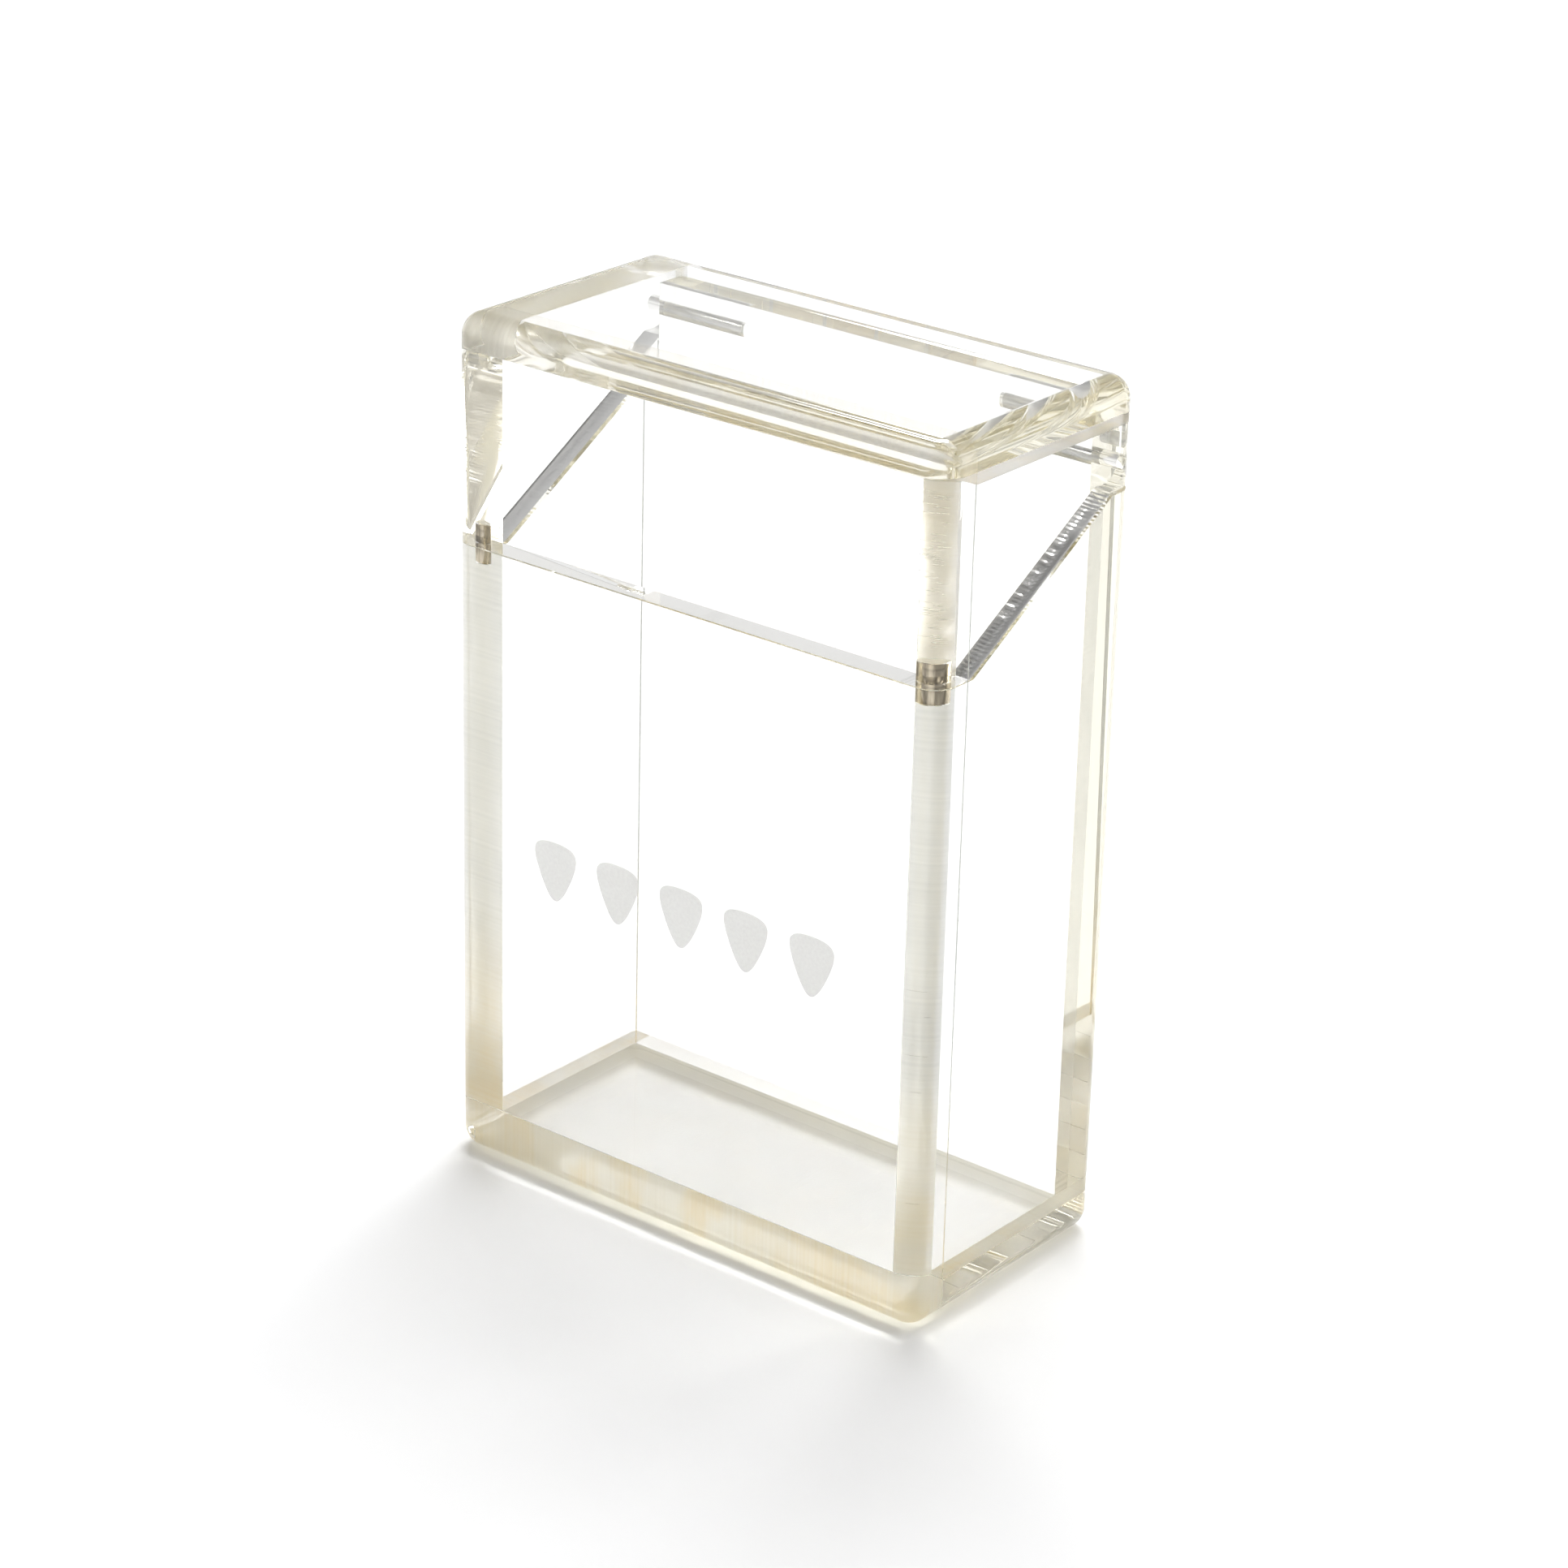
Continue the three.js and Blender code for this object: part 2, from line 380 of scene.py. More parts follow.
def lid_mesh():
    """The lid: the outside above the cut, hollow and open to the rear, with bores and pockets."""
    far = BACK + OVERCUT
    cut = SawCut(*LID_SLOPE, lid_crown, lid_ridges, 23)

    def above(x):
        return [
            (-far, LID_EDGE),
            *cut.points(x),
            *arc(PIN_Y, PIN_Z, KNUCKLE, -math.pi / 2, 0),
            (far, PIN_Z),
            (far, HEIGHT + OVERCUT),
            (-far, HEIGHT + OVERCUT),
        ]

    wide = HALF_WIDTH + OVERCUT
    pocket_top = LID_EDGE + MAGNET_HI.z - MAGNET_LO.z + POCKET_CLEARANCE
    steps = [
        ("INTERSECT", lofted(above, cut_stations())),
        (
            "DIFFERENCE",
            block((-INNER_SIDE, INNER_FRONT, 0.0), (INNER_SIDE, BACK + OVERCUT, CEILING)),
        ),
    ]
    for side in (-1, 1):
        steps.append(
            (
                "DIFFERENCE",
                bar(
                    Vector((side * (INNER_SIDE - 1), PIN_Y, PIN_Z)),
                    Vector((side * wide, PIN_Y, PIN_Z)),
                    CHEEK_BORE,
                ),
            )
        )
        steps.append(
            (
                "DIFFERENCE",
                bar(
                    Vector((side * MAGNET_X, MAGNET_Y, LID_EDGE - 1)),
                    Vector((side * MAGNET_X, MAGNET_Y, pocket_top)),
                    MAGNET_RADIUS + POCKET_CLEARANCE,
                ),
            )
        )
    return carve(envelope(), steps)


# ---- exact normals ------------------------------------------------------------------------------


class Round:
    """A round wall about a line: its true normals are radial."""

    def __init__(self, point, axis, radius, sign, made=POLISHED, reach=None):
        self.point, self.axis, self.radius = Vector(point), Vector(axis), radius
        self.sign, self.made, self.reach = sign, made, reach

    def radial(self, p):
        d = p - self.point
        return d - self.axis * d.dot(self.axis)

    def holds(self, centre, normal):
        d = self.radial(centre)
        if abs(d.length - self.radius) > 0.02 + 0.01 * self.radius:
            return False
        if self.reach and not self.reach(centre):
            return False
        return d.normalized().dot(normal) * self.sign > 0.97

    def normal(self, p):
        return self.radial(p).normalized() * self.sign


class Outside:
    """The rounded outside of the holder."""

    made = POLISHED

    def holds(self, centre, normal):
        core = core_point(centre)
        d = centre - core
        if abs(d.length - EDGE_RADIUS) > 0.02:
            return False
        return d.normalized().dot(normal) > 0.98

    def normal(self, p):
        core = core_point(p)
        return (p - core).normalized()


def rounds_of(lid):
    """Every round wall of one shell."""
    found = [Outside()]
    for side in (-1, 1):
        bore = CHEEK_BORE if lid else TONGUE_BORE
        found.append(Round((0, PIN_Y, PIN_Z), (1, 0, 0), bore, -1, DRILLED))
        found.append(
            Round(
                (side * MAGNET_X, MAGNET_Y, 0),
                (0, 0, 1),
                MAGNET_RADIUS + POCKET_CLEARANCE,
                -1,
                DRILLED,
            )
        )
    if lid:
        centre, radius = (0, PIN_Y, PIN_Z), KNUCKLE
        found.append(Round(centre, (1, 0, 0), radius, 1, reach=lambda p: p.z < PIN_Z + 0.1))
    else:
        centre, radius = (0, BACK - TONGUE_ROUND, TONGUE_TOP - TONGUE_ROUND), TONGUE_ROUND
        found.append(Round(centre, (1, 0, 0), radius, 1, reach=lambda p: p.z > centre[2]))
    return found


def is_sawn(centre, normal):
    """The sloping cut between lid and case."""
    run = SLOPE_END_Y - INNER_FRONT
    tilt = Vector((0, -(LID_REAR_EDGE - SEAM), run)).normalized()
    faces_it = abs(normal.x) < 0.1 and abs(normal.dot(tilt)) > 0.9
    return faces_it and SEAM - 0.1 < centre.z < LID_REAR_EDGE


def finish_shell(mesh, lid):
    """Gives round walls their true normals, keeps flat walls flat and marks how each was made."""
    bm = bmesh.new()
    bm.from_mesh(mesh)
    bmesh.ops.remove_doubles(bm, verts=bm.verts, dist=0.0005)
    bmesh.ops.dissolve_degenerate(bm, dist=0.0005, edges=bm.edges)
    bmesh.ops.triangulate(bm, faces=[f for f in bm.faces if len(f.verts) > 4])
    bm.to_mesh(mesh)
    bm.free()
    rounds = rounds_of(lid)
    groups, made, normals = [], [], []
    for face in mesh.polygons:
        centre, normal = Vector(face.center), Vector(face.normal)
        group = next((r for r in rounds if r.holds(centre, normal)), None)
        groups.append(rounds.index(group) if group else -1)
        made.append(group.made if group else SAWN if is_sawn(centre, normal) else POLISHED)
        for i in face.loop_indices:
            p = Vector(mesh.vertices[mesh.loops[i].vertex_index].co)
            normals.append(tuple(group.normal(p)) if group else tuple(normal))
    edge_groups = {}
    for face, group in zip(mesh.polygons, groups):
        for key in face.edge_keys:
            edge_groups.setdefault(key, []).append(group)
    sharp = mesh.attributes.new("sharp_edge", "BOOLEAN", "EDGE")
    for edge in mesh.edges:
        here = edge_groups.get(edge.key, [])
        sharp.data[edge.index].value = len(here) != 2 or here[0] != here[1] or here[0] < 0
    for face in mesh.polygons:
        face.use_smooth = True
    mesh.transform(Matrix.Scale(MM, 4))
    mesh.normals_split_custom_set(normals)
    finish = mesh.attributes.new("made", "FLOAT", "FACE")
    finish.data.foreach_set("value", made)
    mesh.update()
    return mesh


# ---- joints between the panels ------------------------------------------------------------------

FILM = 0.02
FILM_INSET = 0.06
ALONG_X, ALONG_Y, ALONG_Z = 0, 1, 2

# How far out from the middle the cloudy cement reaches behind the front panel, on each side.
CLOUDY_TO = {-1: HALF_WIDTH - FILM_INSET, 1: INNER_SIDE + 1.25}
# The bead of cement beside the right face, from its inner to its outer edge.
BEAD = (HALF_WIDTH - 0.36, HALF_WIDTH - 0.1)
CORNER_BEAD = (INNER_BACK + 0.02, INNER_BACK + 0.36)
REAR_CLOUDY = (INNER_BACK + FILM_INSET, INNER_BACK + 2.4)
# A hazy sheet low in the base: scuffs, and painted shade that greys the floor seen through the
# base.
SCUFFS_AND_SHADE_Z = 0.1 + FILM / 2

# Each joint's look: its blur of what is seen through it, its haze, and a warm tint of that haze
# which is partly the cement's own and partly painted warm light.
LID_FRONT_LOOK = {-1: (0.1, 0.05, 0.5), 1: (0.8, 0.28, 0.7)}
LID_TOP_LOOK = {-1: (0.6, 0.15, 0.4), 1: (0.35, 0.26, 1.0)}
LID_TOP_FRONT_LOOK = (0.08, 0.13, 1.0)
CASE_FRONT_LOOK = (0.5, 0.36, 0.0)
BASE_SIDE_LOOK = (0.3, 0.45, 1.0)
BASE_FRONT_LOOK = (0.3, 0.55, 1.0)
BASE_BACK_LOOK = (0.3, 0.08, 1.0)
REAR_LOOK = (0.1, 0.22, 0.0)
BEAD_LOOK = (0.1, 0.8, 0.0)
# Scuffs and painted shade under the base.
SCUFFS_AND_SHADE_LOOK = (0.0, 0.035, 0.5)


def upright(x0, x1, z0, z1):
    """The lowest and highest corner of a sheet on the back of the front panel."""
    return (x0, INNER_FRONT - FILM / 2, z0), (x1, INNER_FRONT + FILM / 2, z1)


def level(x0, x1, y0, y1, z):
    """The corners of a level sheet."""
    return (x0, y0, z - FILM / 2), (x1, y1, z + FILM / 2)


def sideways(x, y0, y1, z0, z1):
    """The corners of a sheet that faces left and right."""
    return (x - FILM / 2, y0, z0), (x + FILM / 2, y1, z1)


def wall(side, reach=HALF_WIDTH - FILM_INSET):
    """The stretch of x that a joint covers across one side wall."""
    return sorted((side * (INNER_SIDE + FILM_INSET), side * reach))


def lid_films():
    """The lid's joints, as (lowest corner, highest corner, direction along, blur, haze, warm tint);
    the warm tint is partly painted warm light.
    """
    low = LID_EDGE + FILM_INSET
    films = []
    for side in (-1, 1):
        front = upright(*wall(side, CLOUDY_TO[side]), low, CEILING)
        films.append((*front, ALONG_Z, *LID_FRONT_LOOK[side]))
        top = level(*wall(side), INNER_FRONT, BACK, CEILING)
        films.append((*top, ALONG_Y, *LID_TOP_LOOK[side]))
    films.append((*upright(*BEAD, low, CEILING), ALONG_Z, *BEAD_LOOK))
    top_front = upright(-HALF_WIDTH, HALF_WIDTH, CEILING + FILM_INSET, HEIGHT)
    films.append((*top_front, ALONG_X, *LID_TOP_FRONT_LOOK))
    return films


def case_films():
    """The case's joints, as lid_films gives the lid's, and a hazy sheet on its underside: scuffs
    and painted shade.
    """
    high, rear_high = SEAM - FILM_INSET, CASE_REAR_TOP - FILM_INSET
    films = []
    for side in (-1, 1):
        front = upright(*wall(side, CLOUDY_TO[side]), FLOOR_TOP, high)
        films.append((*front, ALONG_Z, *CASE_FRONT_LOOK))
        base = level(*wall(side), INNER_FRONT, BACK, FLOOR_TOP)
        films.append((*base, ALONG_Y, *BASE_SIDE_LOOK))
    rear = sideways(INNER_SIDE, *REAR_CLOUDY, FLOOR_TOP, rear_high)
    films.append((*rear, ALONG_Z, *REAR_LOOK))
    films.append((*upright(*BEAD, FLOOR_TOP, high), ALONG_Z, *BEAD_LOOK))
    corner = sideways(-INNER_SIDE, *CORNER_BEAD, FLOOR_TOP, rear_high)
    films.append((*corner, ALONG_Z, *BEAD_LOOK))
    base_front = upright(-HALF_WIDTH, HALF_WIDTH, 0.0, FLOOR_TOP - FILM_INSET)
    films.append((*base_front, ALONG_X, *BASE_FRONT_LOOK))
    base_back = level(-INNER_SIDE, INNER_SIDE, INNER_BACK + FILM_INSET, BACK, FLOOR_TOP)
    films.append((*base_back, ALONG_X, *BASE_BACK_LOOK))
    # Scuffs and painted shade under the base: a hazy sheet that greys the floor seen through it.
    under = level(-INNER_SIDE, INNER_SIDE, INNER_FRONT + FILM_INSET, INNER_BACK, SCUFFS_AND_SHADE_Z)
    films.append((*under, ALONG_X, *SCUFFS_AND_SHADE_LOOK))
    return films


def joints_mesh(lid):
    """Thin sheets of cement, kept just inside the rounded outside."""
    joined = bmesh.new()
    # The last layer is a warm tint, partly the cement's own and partly painted warm light.
    layers = [joined.verts.layers.float.new(name) for name in ("along", "blur", "haze", "amber_and_warm_light")]
    shrink = Matrix.Translation((0, 0, HEIGHT / 2)) @ Matrix.Diagonal((0.998, 0.996, 0.9985, 1.0))
    shrink = shrink @ Matrix.Translation((0, 0, -HEIGHT / 2))
    for low, high, axis, *look in lid_films() if lid else case_films():
        inside = envelope()
        inside.transform(shrink)
        sheet = carve(block(low, high), [("INTERSECT", inside)])
        before = len(joined.verts)
        joined.from_mesh(sheet)
        joined.verts.ensure_lookup_table()
        for v in joined.verts[before:]:
            for layer, value in zip(layers, (v.co[axis], *look)):
                v[layer] = value
        bpy.data.meshes.remove(sheet)
    mesh = bpy.data.meshes.new("joints")
    joined.to_mesh(mesh)
    joined.free()
    mesh.transform(Matrix.Scale(MM, 4))
    return mesh


# Half sizes of the trapped air, in x, y and z.
WIDE_BUBBLE = (0.42, 0.03, 0.05)
LONG_BUBBLE = (0.5, 0.02, 0.04)
ROUND_BUBBLE = (0.09, 0.03, 0.05)
TALL_BUBBLE = (0.05, 0.03, 0.11)


def lid_bubbles():
    """Rows of air in the lid's joints, as (start, end, how many, spread, half sizes)."""
    low, high, x = LID_EDGE + 3, CEILING - 1, INNER_SIDE + 0.5
    corner = Vector((INNER_SIDE, INNER_FRONT, CEILING))
    return [
        ((x, INNER_FRONT, low), (x, INNER_FRONT, high), 90, (0.4, 0.0, 0.0), WIDE_BUBBLE),
        ((-x, INNER_FRONT, low), (-x, INNER_FRONT, high), 26, (0.4, 0.0, 0.0), WIDE_BUBBLE),
        ((-corner.x, corner.y, corner.z), corner, 46, (0.0, 0.0, 0.1), ROUND_BUBBLE),
    ]


def case_bubbles():
    """Rows of air in the case's joints, as lid_bubbles gives the lid's."""
    low, high = FLOOR_TOP + 1, SEAM - 1
    outer, rear, inner = HALF_WIDTH - 0.12, -INNER_SIDE - 0.1, INNER_SIDE + 0.5
    return [
        ((outer, INNER_FRONT, low), (outer, INNER_FRONT, high), 90, (0.06, 0.0, 0.0), TALL_BUBBLE),
        ((rear, INNER_BACK, low), (rear, INNER_BACK, high), 44, (0.05, 0.1, 0.0), TALL_BUBBLE),
        ((inner, INNER_FRONT, 12), (inner, INNER_FRONT, 52), 16, (0.4, 0.0, 0.0), LONG_BUBBLE),
    ]


def bubbles_mesh(rows, seed):
    """Small flattened bubbles, scattered along their rows."""
    rng = random.Random(seed)
    bm = bmesh.new()
    for start, end, count, spread, half in rows:
        for _ in range(count):
            place = Vector(start).lerp(Vector(end), rng.random())
            place += Vector([rng.uniform(-w, w) for w in spread])
            grow = rng.uniform(0.35, 1.0)
            size = Matrix.Diagonal((*(h * grow for h in half), 1.0))
            where = Matrix.Translation(place) @ size
            bmesh.ops.create_icosphere(bm, subdivisions=1, radius=1.0, matrix=where)
    for face in bm.faces:
        face.smooth = True
    mesh = bpy.data.meshes.new("bubbles")
    bm.to_mesh(mesh)
    bm.free()
    mesh.transform(Matrix.Scale(MM, 4))
    return mesh


def pick_outline(width, height, steps=48):
    """A plain plectrum: a rounded triangle with bowed sides, point down, centred on the origin."""
    bow = 0.16  # how far the sides swell, as a share of the circle that the outline starts from
    points = []
    for i in range(steps):
        t = 2 * math.pi * i / steps
        points.append((math.sin(t) - bow * math.sin(2 * t), -math.cos(t) - bow * math.cos(2 * t)))
    xs, ys = zip(*points)
    middle = (max(ys) + min(ys)) / 2
    scale_x, scale_y = width / (max(xs) - min(xs)), height / (max(ys) - min(ys))
    return [(x * scale_x, (y - middle) * scale_y) for x, y in points]


MARK_COUNT = 5
MARK_SPAN = 36.0
MARK_WIDTH = 6.0
MARK_HEIGHT = 7.0
MARK_Z = 39.0
MARK_THICKNESS = 0.02


def mark_mesh():
    """A row of plain pick shapes, frosted on the front panel."""
    bm = bmesh.new()
    outline = pick_outline(MARK_WIDTH, MARK_HEIGHT)
    for i in range(MARK_COUNT):
        x0 = -MARK_SPAN / 2 + MARK_SPAN * i / (MARK_COUNT - 1)
        rings = []
        for y in (FRONT - 0.002, FRONT - MARK_THICKNESS):
            rings.append([bm.verts.new((x0 + x, y, MARK_Z + z)) for x, z in outline])
        n = len(outline)
        bm.faces.new(rings[0])
        bm.faces.new(list(reversed(rings[1])))
        for k in range(n):
            j = (k + 1) % n
            bm.faces.new((rings[0][k], rings[0][j], rings[1][j], rings[1][k]))
    bmesh.ops.recalc_face_normals(bm, faces=bm.faces)
    mesh = bpy.data.meshes.new("mark")
    bm.to_mesh(mesh)
    bm.free()
    mesh.transform(Matrix.Scale(MM, 4))
    return mesh


# ---- materials ----------------------------------------------------------------------------------


ACRYLIC_IOR = 1.49
# Cement against acrylic: a faint step that only bends light where the cement is rough.
CEMENT_IOR = 1.12
CEMENT_GREY = (0.62, 0.64, 0.66, 1.0)
# Pale and amber: partly the cement's own tones and partly painted warm light.
CEMENT_PALE_AND_WARM_LIGHT = (0.84, 0.82, 0.76, 1.0)
CEMENT_AMBER_AND_WARM_LIGHT = (0.83, 0.73, 0.52, 1.0)
# The heights, in metres, between which the cement turns from amber to grey; the amber low down is
# partly the cement's colour and partly painted warm light.
AMBER_AND_WARM_LIGHT_BELOW, GREY_ABOVE = 0.012, 0.034


class Nodes:
    """A material under construction."""

    def __init__(self, name):
        self.material = bpy.data.materials.new(name)
        self.material.use_nodes = True
        self.tree = self.material.node_tree
        self.tree.nodes.clear()
        self.output = self.add("ShaderNodeOutputMaterial")

    def add(self, kind, **settings):
        node = self.tree.nodes.new(kind)
        for key, value in settings.items():
            setattr(node, key, value)
        return node

    def link(self, a, b):
        self.tree.links.new(a, b)

    def mix(self, factor, low, high):
        """low where factor is 0, high where it is 1."""
        node = self.add("ShaderNodeMapRange")
        node.inputs["To Min"].default_value = low
        node.inputs["To Max"].default_value = high
        self.link(factor, node.inputs["Value"])
        return node.outputs["Result"]

    def maths(self, operation, a, b):
        node = self.add("ShaderNodeMath", operation=operation)
        for socket, value in zip(node.inputs, (a, b)):
            if isinstance(value, (int, float)):
                socket.default_value = value
            else:
                self.link(value, socket)
        return node.outputs[0]

    def noise(self, vector, scale, detail=3.0):
        node = self.add("ShaderNodeTexNoise")
        node.inputs["Scale"].default_value = scale
        node.inputs["Detail"].default_value = detail
        self.link(vector, node.inputs["Vector"])
        return node.outputs["Fac"]

    def stretched(self, scale):
        """Object coordinates, scaled by axis."""
        where = self.add("ShaderNodeTexCoord")
        mapping = self.add("ShaderNodeMapping")
        mapping.inputs["Scale"].default_value = scale
        self.link(where.outputs["Object"], mapping.inputs["Vector"])
        return mapping.outputs["Vector"]


def acrylic():
    """Clear cast acrylic: faintly smudged, dull where sawn or drilled, amber in its depth."""
    m = Nodes("acrylic_clear")
    shader = m.add("ShaderNodeBsdfPrincipled")
    smudges = m.noise(m.stretched((180, 180, 180)), 1.0, 5.0)
    m.link(m.mix(smudges, 0.94, 1.0), shader.inputs["Base Color"])
    shader.inputs["Transmission Weight"].default_value = 1.0
    shader.inputs["IOR"].default_value = ACRYLIC_IOR
    made = m.add("ShaderNodeAttribute", attribute_name="made")
    rough = m.mix(made.outputs["Fac"], 0.0, 0.16)
    m.link(rough, shader.inputs["Roughness"])
    volume = m.add("ShaderNodeVolumeAbsorption")
    volume.inputs["Color"].default_value = (0.97, 0.93, 0.73, 1.0)
    volume.inputs["Density"].default_value = 9.5
    m.link(shader.outputs["BSDF"], m.output.inputs["Surface"])
    m.link(volume.outputs["Volume"], m.output.inputs["Volume"])
    return m.material


def cement_tone_and_warm_light(m):
    """Grey high up; pale, with amber patches, near the base and where a joint is marked as warm.
    The pale and amber are partly the cement's colour and partly painted warm light.
    """
    patches = m.add("ShaderNodeValToRGB")
    patches.color_ramp.elements[0].position = 0.42
    patches.color_ramp.elements[0].color = CEMENT_PALE_AND_WARM_LIGHT
    patches.color_ramp.elements[1].position = 0.62
    patches.color_ramp.elements[1].color = CEMENT_AMBER_AND_WARM_LIGHT
    m.link(m.noise(m.stretched((150, 150, 90)), 1.0, 3.0), patches.inputs["Fac"])
    where = m.add("ShaderNodeTexCoord")
    split = m.add("ShaderNodeSeparateXYZ")
    m.link(where.outputs["Object"], split.inputs["Vector"])
    # Painted warm light by height: pale and amber towards the base, grey above.
    low = m.add("ShaderNodeMapRange", interpolation_type="SMOOTHSTEP")
    low.inputs["From Min"].default_value = GREY_ABOVE
    low.inputs["From Max"].default_value = AMBER_AND_WARM_LIGHT_BELOW
    m.link(split.outputs["Z"], low.inputs["Value"])
    # Joints marked with painted warm light take the pale and amber at any height.
    marked = m.add("ShaderNodeAttribute", attribute_name="amber_and_warm_light")
    mix = m.add("ShaderNodeMixRGB")
    m.link(m.maths("MAXIMUM", low.outputs["Result"], marked.outputs["Fac"]), mix.inputs["Fac"])
    mix.inputs["Color1"].default_value = CEMENT_GREY
    m.link(patches.outputs["Color"], mix.inputs["Color2"])
    return mix.outputs["Color"]


def cement():
    """Cured cement in a joint: it blurs and clouds what is seen through it, in uneven bands."""
    m = Nodes("cement_film")
    see = m.add("ShaderNodeBsdfRefraction")
    see.inputs["IOR"].default_value = CEMENT_IOR
    blur = m.add("ShaderNodeAttribute", attribute_name="blur")
    m.link(blur.outputs["Fac"], see.inputs["Roughness"])
    diffuse = m.add("ShaderNodeBsdfDiffuse")
    through = m.add("ShaderNodeBsdfTranslucent")
    for shader in (diffuse, through):
        m.link(cement_tone_and_warm_light(m), shader.inputs["Color"])
    both = m.add("ShaderNodeMixShader")
    m.link(diffuse.outputs[0], both.inputs[1])
    m.link(through.outputs[0], both.inputs[2])
    along = m.add("ShaderNodeAttribute", attribute_name="along")
    haze = m.add("ShaderNodeAttribute", attribute_name="haze")
    fine = m.add("ShaderNodeTexNoise", noise_dimensions="1D")
    fine.inputs["Scale"].default_value = 2.4
    fine.inputs["Detail"].default_value = 2.0
    m.link(along.outputs["Fac"], fine.inputs["W"])
    broad = m.noise(m.stretched((260, 260, 90)), 1.0, 4.0)
    lines = m.mix(fine.outputs["Fac"], 0.55, 1.25)
    clouds = m.mix(broad, 0.6, 1.3)
    share = m.maths("MULTIPLY", m.maths("MULTIPLY", lines, clouds), haze.outputs["Fac"])
    mix = m.add("ShaderNodeMixShader")
    m.link(share, mix.inputs[0])
    m.link(see.outputs[0], mix.inputs[1])
    m.link(both.outputs[0], mix.inputs[2])
    m.link(mix.outputs[0], m.output.inputs["Surface"])
    return m.material


def trapped_air():
    """A bubble in the acrylic, seen from inside the acrylic."""
    m = Nodes("trapped_air")
    shader = m.add("ShaderNodeBsdfGlass")
    shader.inputs["IOR"].default_value = 1 / ACRYLIC_IOR
    shader.inputs["Roughness"].default_value = 0.0
    m.link(shader.outputs["BSDF"], m.output.inputs["Surface"])
    return m.material


def frosting():
    """A pale etched print."""
    m = Nodes("frosted_mark")
    see = m.add("ShaderNodeBsdfTransparent")
    diffuse = m.add("ShaderNodeBsdfDiffuse")
    diffuse.inputs["Color"].default_value = (0.78, 0.78, 0.77, 1.0)
    grain = m.noise(m.stretched((3000, 3000, 3000)), 1.0, 2.0)
    mix = m.add("ShaderNodeMixShader")
    m.link(m.mix(grain, 0.42, 0.52), mix.inputs[0])
    m.link(see.outputs[0], mix.inputs[1])
    m.link(diffuse.outputs[0], mix.inputs[2])
    m.link(mix.outputs[0], m.output.inputs["Surface"])
    return m.material


def metal(name, dark, bright, low, high, grain):
    """A plated or drawn metal: streaks between two tones and between two roughnesses."""
    m = Nodes(name)
    shader = m.add("ShaderNodeBsdfPrincipled")
    shader.inputs["Metallic"].default_value = 1.0
    streaks = m.noise(m.stretched(grain), 1.0)
    tone = m.add("ShaderNodeValToRGB")
    tone.color_ramp.elements[0].position = 0.38
    tone.color_ramp.elements[0].color = (*dark, 1.0)
    tone.color_ramp.elements[1].position = 0.62
    tone.color_ramp.elements[1].color = (*bright, 1.0)
    m.link(streaks, tone.inputs["Fac"])
    m.link(tone.outputs["Color"], shader.inputs["Base Color"])
    m.link(m.mix(streaks, low, high), shader.inputs["Roughness"])
    m.link(shader.outputs["BSDF"], m.output.inputs["Surface"])
    return m.material


# ---- pieces -------------------------------------------------------------------------------------


def show(name, mesh, material, body, slot, *nodes):
    """Puts a finished mesh on a body, in place of the CAD nodes named."""
    piece = bpy.data.objects.new(name, mesh)
    bpy.context.collection.objects.link(piece)
    mesh.materials.clear()
    mesh.materials.append(material)
    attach(piece, body)
    if nodes:
        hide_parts(*nodes)
    return piece


def turned_bar(start, end, radius, chamfer, steps=64):
    """A round bar with chamfered ends, in metres when done."""
    axis = (end - start).normalized()
    side = axis.orthogonal().normalized()
    other = axis.cross(side)
    length = (end - start).length
    rings = [
        (0.0, radius - chamfer),
        (chamfer * 0.3, radius - chamfer * 0.35),
        (chamfer, radius),
        (length - chamfer, radius),
        (length - chamfer * 0.3, radius - chamfer * 0.35),
        (length, radius - chamfer),
    ]
    verts = []
    for along, r in rings:
        for i in range(steps):
            a = 2 * math.pi * i / steps
            verts.append(start + axis * along + side * math.cos(a) * r + other * math.sin(a) * r)
    faces = [tuple(range(steps))]
    for k in range(len(rings) - 1):
        for i in range(steps):
            j = (i + 1) % steps
            faces.append((k * steps + i, k * steps + j, (k + 1) * steps + j, (k + 1) * steps + i))
    last = (len(rings) - 1) * steps
    faces.append(tuple(range(last + steps - 1, last - 1, -1)))
    mesh = solid(verts, faces)
    for face in mesh.polygons:
        face.use_smooth = len(face.vertices) == 4
    mesh.transform(Matrix.Scale(MM, 4))
    mesh.set_sharp_from_angle(angle=math.radians(35))
    return mesh


ACRYLIC = acrylic()
PIN_STEEL = metal(
    "pin_steel", (0.40, 0.40, 0.39), (0.66, 0.66, 0.64), 0.2, 0.4, (300, 2500, 2500)
)
NICKEL = metal(
    "magnet_nickel", (0.20, 0.17, 0.12), (0.70, 0.62, 0.48), 0.08, 0.22, (1500, 1500, 120)
)

